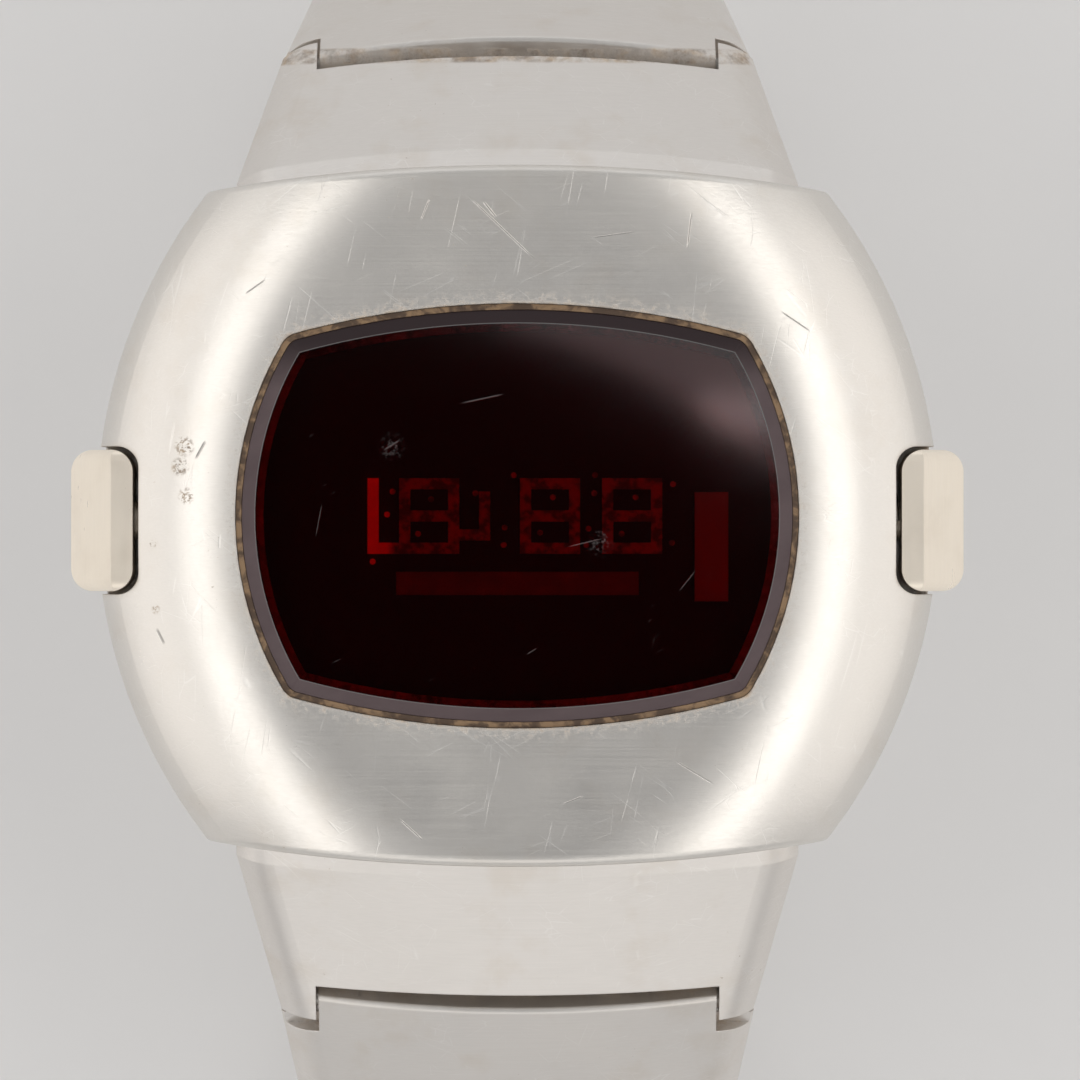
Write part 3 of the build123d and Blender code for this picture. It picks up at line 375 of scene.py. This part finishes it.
# dirt sets how much brown goes into the hollows that ambient occlusion finds, which is dirt and painted
# shade together
def steel(name, base=(0.76, 0.735, 0.70), roughness=0.3, metallic=1.0, brush=0.6,
          brush_scales=(0.14, 13.0, 13.0), edge=0.09, scuffs=0.5, strokes=(), stains=0.5, dirt=0.6,
          dirt_and_shade_reach=0.5, spots=(), window=False, joint_band=None):
    """Satin brushed steel with fine lines across the watch, scuffs, scratches, and dirt with painted
    shade in the hollows
    """
    k = Kit(name)
    lines = k.noise(k.stretched(brush_scales), detail=4.0, roughness=0.62)
    long_scales = [s * LONG_LINE_SHARE for s in brush_scales]
    long_lines = k.noise(k.stretched(long_scales), detail=2.0, roughness=0.5)
    cloud = k.noise(k.place, scale=0.22, distortion=0.4)
    patch = k.noise(k.place, scale=1.3, detail=4.0, roughness=0.6, distortion=0.8)
    hair = k.times(k.most([scuff(k, *row) for row in SCUFFS]), scuffs)
    marks = k.most([k.stroke(*stroke) for stroke in strokes]) if strokes else None

    # brown in the hollows that ambient occlusion finds, partly dirt and partly painted shade, and dirt
    # where this piece has more of it
    hollow_dirt_and_shade = k.rise(k.hollows(dirt_and_shade_reach), low=0.28, high=0.8)
    grime_and_shade = k.times(k.times(hollow_dirt_and_shade, k.rise(patch, low=0.3, high=0.62)), dirt)
    if window:
        grime_and_shade = k.most([grime_and_shade, *window_grime(k)])
    for place, size in spots:
        grime_and_shade = k.most([grime_and_shade, spot_grime(k, place, size)])
    if joint_band:
        grime_and_shade = k.most([grime_and_shade, band_grime(k, *joint_band)])

    # specks and tan stains
    specks = k.rise(k.noise(k.place, scale=5.5, detail=2.0, roughness=0.5), low=0.72, high=0.8)
    speck_place = k.vector("ADD", k.place, SPECK_SHIFT)
    speck_area = k.rise(k.noise(speck_place, scale=0.16, detail=2.0), low=0.52, high=0.66)
    dull = k.most([grime_and_shade, k.times(k.times(specks, speck_area), stains)])
    stain_place = k.vector("ADD", k.place, STAIN_SHIFT)
    stain = k.rise(k.noise(stain_place, scale=0.35, detail=4.0, roughness=0.6), low=0.5, high=0.75)
    tan = k.times(stain, STAINS_SHOW * stains)

    line_colour = [c * LINE_SHADE for c in base]
    cloud_colour = [c * tint for c, tint in zip(base, CLOUD_TINT)]
    colour = k.mix(k.times(lines, LINES_SHOW), base, line_colour)
    colour = k.mix(k.times(cloud, CLOUD_SHOWS), colour, cloud_colour)
    colour = k.mix(k.times(hair, SCUFFS_SHOW), colour, SCUFF_BRIGHT)
    if marks is not None:
        colour = k.mix(k.times(marks, SCRATCHES_SHOW), colour, SCRATCH_DARK)
    colour = k.mix(tan, colour, STAIN_TAN)
    # Brown over the dirt, and over the hollows as painted shade
    colour = k.mix(dull, colour, k.mix(k.rise(patch, low=0.3, high=0.7), GRIME_AND_SHADE_DARK, GRIME_AND_SHADE_LIGHT))

    shine = k.plus(roughness - ROUGHNESS_SPREAD / 2, k.times(cloud, ROUGHNESS_SPREAD))
    shine = k.plus(shine, k.times(k.minus(lines, 0.5), LINE_ROUGHNESS))
    shine = k.blend(dull, shine, GRIME_ROUGHNESS)

    height = k.plus(k.times(lines, LINES_RELIEF), k.times(long_lines, LINES_RELIEF))
    height = k.minus(height, k.times(hair, SCUFF_CUT))
    if marks is not None:
        height = k.minus(height, k.times(marks, SCRATCH_CUT))
    height = k.plus(height, k.times(dull, GRIME_RELIEF))
    normal = k.bump(height, strength=brush, depth=0.012, normal=k.rounded(edge))
    k.done(k.surface(
        Base_Color=colour, Metallic=k.blend(dull, metallic, 0.0), Roughness=shine, Normal=normal
    ))


# Marks of use on the window, in millimetres from its middle seen from above: from, to, width
WINDOW_MARKS = (
    ((-2.6, 5.0), (-0.5, 5.45), 0.045),
    ((-6.0, 2.9), (-5.2, 3.4), 0.05),
    ((2.2, -1.4), (3.9, -1.0), 0.03),
    ((7.2, -3.4), (8.0, -2.4), 0.03),
    ((-9.0, -1.0), (-8.7, 0.6), 0.025),
    ((0.4, -6.2), (0.9, -5.9), 0.03),
)
WINDOW_SMUDGES = ((-5.6, 3.1), (3.7, -1.2))

GLASS_TINT = (0.62, 0.022, 0.030)
GLASS_IOR = 1.55
POLISH_COLOUR = (1.0, 0.97, 0.97)
SCRATCHED_GLASS = (0.55, 0.5, 0.5)
# The bevel round the window: two greys of painted reflection, and painted shade that makes it darker
# towards its top
BEVEL_REFLECTION_DARK = (0.085, 0.062, 0.066)
BEVEL_REFLECTION_LIGHT = (0.15, 0.115, 0.12)
BEVEL_TOP_SHADE = (0.035, 0.024, 0.026)

# The painted reflection on the bevel begins at the first of these distances from the outline and is full
# at the second
BEVEL_REFLECTION_START, BEVEL_REFLECTION_FULL = -0.63, -0.55
# How strongly the painted reflection on the bevel shows
BEVEL_REFLECTION_SHOWS = 0.8

# How milky each kind of wear makes the glass
MARKS_SHOW, SMUDGES_SHOW, HAIRS_SHOW, DUST_SHOWS = 0.13, 0.12, 0.06, 0.2

POLISH_ROUGHNESS, SMEAR_ROUGHNESS = 0.028, 0.02


def ruby():
    """Dark red glass: tinted see-through, a clear polish, a painted reflection on its bevel, darker
    towards the top, hairlines, smudges and dust
    """
    k = Kit("ruby_glass")
    marks = k.most([k.stroke(*mark) for mark in WINDOW_MARKS])
    smudges = []
    for place in WINDOW_SMUDGES:
        near = k.fall(k.away_from(*place), low=0.1, high=0.75)
        patches = k.rise(k.noise(k.place, scale=4.5, detail=5.0, roughness=0.7), low=0.5, high=0.64)
        smudges.append(k.times(near, patches))
    cell = k.cells(k.stretched((0.07, 1.1, 1.1), turn=31.0))
    hair_area = k.rise(k.noise(k.place, scale=0.6, detail=2.0), low=0.68, high=0.76)
    hair = k.times(k.fall(cell, low=0.0, high=0.012), hair_area)
    dust_area = k.rise(k.noise(k.place, scale=0.35, detail=2.0), low=0.45, high=0.6)
    dust = k.times(k.rise(k.noise(k.place, scale=9.0, detail=1.0), low=0.8, high=0.84), dust_area)
    smear = k.noise(k.stretched((0.25, 0.6, 0.6), turn=20.0), detail=4.0, roughness=0.6)
    # The band of the bevel, which gets the painted reflection
    bevel_reflection = k.rise(window_distance(k), BEVEL_REFLECTION_START, BEVEL_REFLECTION_FULL)
    worn = k.most([
        k.times(marks, MARKS_SHOW), k.times(k.most(smudges), SMUDGES_SHOW),
        k.times(hair, HAIRS_SHOW), k.times(dust, DUST_SHOWS),
    ])
    polish = k.node(
        "BsdfGlossy", Color=POLISH_COLOUR,
        Roughness=k.plus(POLISH_ROUGHNESS, k.times(smear, SMEAR_ROUGHNESS)),
        Normal=k.bump(worn, strength=0.3, depth=0.01, normal=k.rounded(0.06)),
    )
    tint = k.node("BsdfTransparent", Color=GLASS_TINT)
    mirror_share = k.node("Fresnel", IOR=GLASS_IOR)
    glass = k.shared(mirror_share.outputs[0], tint.outputs[0], polish.outputs[0])
    # Painted reflection on the bevel, with painted shade towards its top
    bevel_reflection_colour = k.mix(smear, BEVEL_REFLECTION_DARK, BEVEL_REFLECTION_LIGHT)
    bevel_reflection_colour = k.mix(k.rise(k.y, low=5.5, high=8.0), bevel_reflection_colour, BEVEL_TOP_SHADE)
    wear_and_bevel_reflection = k.node("BsdfDiffuse", Color=k.mix(bevel_reflection, SCRATCHED_GLASS, bevel_reflection_colour))
    k.done(k.shared(k.most([worn, k.times(bevel_reflection, BEVEL_REFLECTION_SHOWS)]), glass, wear_and_bevel_reflection.outputs[0]))


# Grain and blotches: how dense they are as shares of the grain's density
GRAIN_SHARE, BLOTCH_SHARE = 4, 0.3


def plain(name, base, roughness, metallic=0.0, grain=3.0, change=0.15, bump=0.1, second=None,
          second_share=(0.5, 0.6), edge=0.05):
    """A moulded, plated or painted surface with grain, blotches and rounded edges"""
    k = Kit(name)
    fine = k.noise(k.place, scale=grain * GRAIN_SHARE)
    broad = k.noise(k.place, scale=grain * BLOTCH_SHARE, detail=4.0, roughness=0.6, distortion=0.5)
    darker = [c * (1 - change) for c in base]
    lighter = [min(1.0, c * (1 + change)) for c in base]
    colour = k.mix(broad, darker, lighter)
    if second:
        colour = k.mix(k.rise(broad, *second_share), colour, second)
    shine = k.plus(roughness - ROUGHNESS_SPREAD / 2, k.times(fine, ROUGHNESS_SPREAD))
    normal = k.bump(fine, strength=bump, depth=0.02, normal=k.rounded(edge))
    k.done(k.surface(Base_Color=colour, Metallic=metallic, Roughness=shine, Normal=normal))


LAMINATE_DARK, LAMINATE_LIGHT = (0.02, 0.11, 0.05), (0.05, 0.2, 0.09)
TINNED_COPPER = (0.72, 0.66, 0.5)
LAMINATE_ROUGHNESS, TIN_ROUGHNESS = 0.35, 0.28
WEAVE_RELIEF = 0.2


def board():
    """Green laminate with tinned tracks and pads"""
    k = Kit("board_green")
    track = k.fall(k.cells(k.place, scale=0.55, randomness=0.15), low=0.02, high=0.05)
    pads = k.fall(k.cells(k.place, scale=0.8, feature="F1", randomness=0.0), low=0.18, high=0.22)
    metal = k.most([track, pads])
    weave = k.noise(k.place, scale=8.0, detail=2.0)
    colour = k.mix(metal, k.mix(weave, LAMINATE_DARK, LAMINATE_LIGHT), TINNED_COPPER)
    relief = k.plus(metal, k.times(weave, WEAVE_RELIEF))
    normal = k.bump(relief, strength=0.3, depth=0.03, normal=k.rounded(0.05))
    shine = k.blend(metal, LAMINATE_ROUGHNESS, TIN_ROUGHNESS)
    k.done(k.surface(Base_Color=colour, Metallic=metal, Roughness=shine, Normal=normal))


# Middles of the two cells' flats, in millimetres
CELL_MIDDLES = ((6.2, -3.6, 42.0), (-6.2, -3.6, 42.0))
CELL_DULL, CELL_BRIGHT = (0.62, 0.62, 0.6), (0.8, 0.8, 0.78)
CELL_ROUGHNESS, SMUDGE_ROUGHNESS = 0.12, 0.2
TURNED_RINGS_DENSITY = 7.0


def cell_metal():
    """Plated button cell: turned rings on its flat, polished rim, faint handling marks"""
    k = Kit("cell_steel")
    rings = []
    for middle in CELL_MIDDLES:
        reach = k.times(k.vector("DISTANCE", k.place, middle), TURNED_RINGS_DENSITY)
        rings.append(k.noise(k.vector("SCALE", (1.0, 0.0, 0.0), scale=reach)))
    ring = k.times(k.plus(*rings), 1 / len(rings))
    smudge = k.noise(k.place, scale=0.5, detail=4.0, roughness=0.6, distortion=0.6)
    shine = k.plus(CELL_ROUGHNESS, k.times(smudge, SMUDGE_ROUGHNESS))
    normal = k.bump(ring, strength=0.15, depth=0.02, normal=k.rounded(0.08))
    k.done(k.surface(
        Base_Color=k.mix(smudge, CELL_DULL, CELL_BRIGHT), Metallic=1.0, Roughness=shine, Normal=normal
    ))


# The brightest colour and the glow paint a glint on the leftmost stroke
BAR_DIM, BAR_BRIGHT, BAR_PAINTED_GLINT = (0.22, 0.06, 0.06), (0.9, 0.2, 0.18), (1.0, 0.6, 0.55)
GLINT_GLOW_COLOUR, GLINT_GLOW_STRENGTH = (1.0, 0.08, 0.03), 0.5

# The leftmost stroke of the display, between these two places along x, is the brightest: a painted glint,
# with a weak glow, on a display that is off
GLINT_STROKE_START, GLINT_STROKE_FULL = -5.4, -6.0


def led_red():
    """Diode bars under the glass: moulded light pipes, each a little different, and a painted glint on
    the leftmost stroke
    """
    k = Kit("led_red")
    bars = k.noise(k.place, scale=2.2, detail=2.0)
    fine = k.noise(k.place, scale=14.0, detail=2.0)
    # The leftmost stroke, which gets the painted glint
    left = k.rise(k.x, GLINT_STROKE_START, GLINT_STROKE_FULL)
    colour = k.mix(k.rise(bars, low=0.35, high=0.65), BAR_DIM, BAR_BRIGHT)
    colour = k.mix(left, colour, BAR_PAINTED_GLINT)
    # The glow is part of the painted glint: the diodes are off
    k.done(k.surface(
        Base_Color=colour, Metallic=0.0, Roughness=0.35,
        Normal=k.bump(fine, strength=0.3, depth=0.03, normal=k.rounded(0.05)),
        Emission_Color=GLINT_GLOW_COLOUR, Emission_Strength=k.times(left, k.times(bars, GLINT_GLOW_STRENGTH)),
    ))


# Scratches on the case, in millimetres from its middle seen from above: from, to, width
CASE_MARKS = (
    ((-2.3, 14.4), (0.85, 11.4), 0.05),
    ((-1.55, 14.1), (-0.9, 13.3), 0.06),
    ((7.8, 13.6), (7.6, 11.9), 0.05),
    ((7.0, -10.9), (8.8, -12.0), 0.05),
    ((-5.3, -13.5), (-4.2, -14.5), 0.05),
    ((-16.2, -5.0), (-15.8, -5.8), 0.09),
    ((-4.3, 13.2), (-3.9, 14.2), 0.04),
    ((3.2, 12.4), (5.4, 12.7), 0.04),
    ((-12.2, 9.9), (-11.2, 10.6), 0.04),
    ((11.7, 9.2), (13.2, 8.2), 0.04),
    ((2.0, -12.9), (3.0, -12.5), 0.04),
    ((-13.9, 3.4), (-14.4, 2.5), 0.07),
)

# Dirty spots on the case: middle and radius
CASE_SPOTS = (
    ((-14.9, 3.1), 0.55),
    ((-15.1, 2.2), 0.5),
    ((-14.8, 0.9), 0.45),
    ((-16.3, -1.2), 0.25),
    ((-16.2, -4.2), 0.25),
)

# The joint between the first two links at twelve: from and to along y, and the least height
FIRST_JOINT_BAND = (20.6, 21.3, 30.0)

# Outside of the watch
steel("case_steel", roughness=0.33, strokes=CASE_MARKS, spots=CASE_SPOTS, window=True, dirt=0.75)
steel("button_steel", base=(0.98, 0.895, 0.775), roughness=0.32, metallic=0.7, brush=0.1,
      brush_scales=(3.0, 0.5, 9.0), scuffs=0.3)
steel("link_steel", base=(0.755, 0.725, 0.695), roughness=0.36, brush=0.3, stains=0.8, dirt=0.8,
      dirt_and_shade_reach=0.6, joint_band=FIRST_JOINT_BAND)
steel("clasp_steel", base=(0.74, 0.72, 0.69), brush=0.3, brush_scales=(9.0, 0.12, 9.0), dirt=0.5)
steel("pin_steel", base=(0.66, 0.65, 0.63), roughness=0.28, brush=0.2, brush_scales=(0.5, 10.0, 10.0),
      edge=0.05, dirt=0.5)
ruby()
plain("rubber", base=(0.075, 0.045, 0.027), roughness=0.7, grain=4.5, second=(0.25, 0.16, 0.088),
      second_share=(0.42, 0.62))

# Under the window and inside
plain("display_black", base=(0.02, 0.015, 0.015), roughness=0.45, grain=2.0)
led_red()
plain("gold", base=(0.30, 0.08, 0.07), roughness=0.4, metallic=0.4, change=0.6, bump=0.3)
plain("sensor_glass", base=(0.62, 0.16, 0.14), roughness=0.3, grain=1.2, change=0.35)
plain("frame_plastic", base=(0.05, 0.05, 0.055), roughness=0.55, grain=2.5)
board()
plain("chip_black", base=(0.03, 0.03, 0.032), roughness=0.5, grain=5.0, bump=0.2)
plain("can_steel", base=(0.7, 0.69, 0.66), roughness=0.25, metallic=1.0, grain=1.5, change=0.08,
      edge=0.1)
plain("bronze", base=(0.68, 0.46, 0.26), roughness=0.3, metallic=1.0, grain=1.5)
cell_metal()
plain("spring_steel", base=(0.6, 0.6, 0.6), roughness=0.25, metallic=1.0, change=0.1)
plain("magnet_grey", base=(0.16, 0.16, 0.17), roughness=0.45, metallic=0.8, grain=6.0, bump=0.3)

# Faces that meet at a smaller angle than this, in degrees, are shaded as one
SMOOTH_ANGLE = 22

slots = {row["node"]: row["material_slot"] for row in frame["record"]["subparts"]}
for name, obj in nodes.items():
    finish = "button_steel" if name in ("left_button", "right_button") else slots[name]
    obj.data.materials.clear()
    obj.data.materials.append(finishes[finish])
    for face in obj.data.polygons:
        face.use_smooth = True
    with bpy.context.temp_override(
        object=obj, active_object=obj, selected_objects=[obj], selected_editable_objects=[obj]
    ):
        bpy.ops.object.shade_smooth_by_angle(angle=math.radians(SMOOTH_ANGLE))

# Each button's spring is shown by a copy with a mesh of its own, hung on the press joint's parent body;
# the part itself is hidden
for joint in frame["joints"]:
    if not joint["name"].endswith("_button_press"):
        continue
    name = joint["name"].replace("_press", "_spring")
    coil = bpy.data.objects.new(f"{name}_coil", nodes[name].data.copy())
    scene.collection.objects.link(coil)
    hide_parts(name)
    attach(coil, joint["parent"])
    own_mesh(coil)

# Floor
FLOOR_SIZE = 3.0
FLOOR_DARK, FLOOR_LIGHT = (0.70, 0.70, 0.705), (0.74, 0.74, 0.74)
bpy.ops.mesh.primitive_plane_add(size=FLOOR_SIZE, location=(0, 0, 0))
floor = bpy.context.object
floor.name = "floor"
k = Kit("floor_pale")
floor.data.materials.append(k.done(k.surface(
    Base_Color=k.mix(k.noise(k.place, scale=0.05, detail=4.0), FLOOR_DARK, FLOOR_LIGHT), Roughness=0.75,
    Normal=k.bump(k.noise(k.place, scale=3.0), strength=0.05, depth=0.05),
)))

# Light: grey surroundings, a long softbox overhead at each side and a lower one beyond each flank for the
# case's bright bands, and low ones behind twelve, at its two corners and before six for the links
SURROUNDINGS = (0.50, 0.50, 0.505, 1.0)
SURROUNDINGS_STRENGTH = 0.9
world = bpy.data.worlds.new("surroundings")
world.use_nodes = True
background = world.node_tree.nodes["Background"]
background.inputs["Color"].default_value = SURROUNDINGS
background.inputs["Strength"].default_value = SURROUNDINGS_STRENGTH
scene.world = world

NEUTRAL, WARM, WARMER = (1.0, 1.0, 1.0), (1.0, 0.97, 0.93), (1.0, 0.945, 0.89)


def softbox(name, place, aim, size, brightness, colour=NEUTRAL):
    """An area light that looks this bright from the object"""
    light = bpy.data.lights.new(name, "AREA")
    light.shape, light.size, light.size_y = "RECTANGLE", size[0], size[1]
    light.energy, light.color = brightness * math.pi * size[0] * size[1], colour
    obj = bpy.data.objects.new(name, light)
    scene.collection.objects.link(obj)
    obj.location = place
    obj.rotation_euler = (Vector(aim) - Vector(place)).to_track_quat("-Z", "Y").to_euler()
    obj.visible_camera = False


top = cad_bounds[1].z
face, links = (0, 0, top), (0, 0, 0.03)
for name, place, aim, size, brightness, colour in (
    ("softbox_left", (-0.33, 0.0, 0.50), face, (0.9, 0.22), 1.45, WARM),
    ("softbox_right", (0.33, 0.0, 0.50), face, (0.9, 0.22), 1.6, WARM),
    ("flank_left", (-0.55, 0.0, 0.22), face, (0.9, 0.40), 0.78, WARMER),
    ("flank_right", (0.55, 0.0, 0.22), face, (0.9, 0.40), 0.74, WARMER),
    ("softbox_back", (0.0, 0.60, 0.16), links, (0.9, 0.30), 0.5, NEUTRAL),
    ("back_left", (-0.42, 0.50, 0.20), links, (0.26, 0.36), 0.42, WARM),
    ("back_right", (0.42, 0.50, 0.20), links, (0.26, 0.36), 0.3, WARM),
    ("softbox_front", (0.0, -0.52, 0.33), links, (0.9, 0.42), 0.56, WARM),
):
    softbox(name, place, aim, size, brightness, colour)

# Camera straight above the face; its frame is this wide at this depth below the crystal's top, in metres
CAMERA_X, CAMERA_Y = 0.00102, -0.00108
FRAME_WIDTH = 0.0488
FRAME_DEPTH = 0.005
SENSOR_WIDTH = 36.0
CLIP_START, CLIP_END = 0.01, 10.0
reach = 0.4
camera_data = bpy.data.cameras.new("camera")
camera = bpy.data.objects.new("camera", camera_data)
scene.collection.objects.link(camera)
scene.camera = camera
camera.location = (CAMERA_X, CAMERA_Y, top + reach)
camera.rotation_euler = (0, 0, 0)
camera_data.sensor_width = SENSOR_WIDTH
camera_data.lens = SENSOR_WIDTH * (reach + FRAME_DEPTH) / FRAME_WIDTH
camera_data.clip_start, camera_data.clip_end = CLIP_START, CLIP_END
camera_data.dof.use_dof = False


def mirrored(x, y, height):
    """Where the camera sees, in the window's mirror at x and y, what hangs this high above it"""
    away = height / reach
    return (x + (x - camera.location.x) * away, y + (y - camera.location.y) * away, top + height)


# A dark hood over the camera, which the window mirrors; past its rim the window mirrors lit cards.
# Their middles, radius and sizes are given as they show on the window, in metres
HOOD_MIDDLE = (-0.007, -0.0177)
HOOD_RADIUS = 0.027
HOOD_BLACK = (0.004, 0.004, 0.004)
CARD_GAP = 0.1
CARD_GAP_BY_BRIGHTNESS = 0.02
hood_height = 1.2
hood_rim = HOOD_RADIUS * (1 + hood_height / reach)
bpy.ops.mesh.primitive_circle_add(
    vertices=128, radius=hood_rim, fill_type="NGON", location=mirrored(*HOOD_MIDDLE, hood_height)
)
hood = bpy.context.object
hood.name = "camera_hood"
k = Kit("hood_black")
hood.data.materials.append(k.done(k.surface(Base_Color=HOOD_BLACK, Roughness=0.9)))
hood.visible_camera = False
hood.visible_shadow = False
for name, middle, size, brightness in (
    ("lit_card", (0.0070, 0.0075), (0.0150, 0.0095), 0.6),
    ("lit_card_corner", (0.0098, 0.0046), (0.0034, 0.0018), 2.0),
):
    height = hood_height + CARD_GAP + CARD_GAP_BY_BRIGHTNESS * brightness
    grow = 1 + height / reach
    centre = mirrored(*middle, height)
    softbox(name, centre, (centre[0], centre[1], 0), (size[0] * grow, size[1] * grow), brightness)

scene.view_settings.view_transform = "Standard"
scene.view_settings.look = "None"
scene.view_settings.exposure = 0.0
scene.view_settings.gamma = 1.0
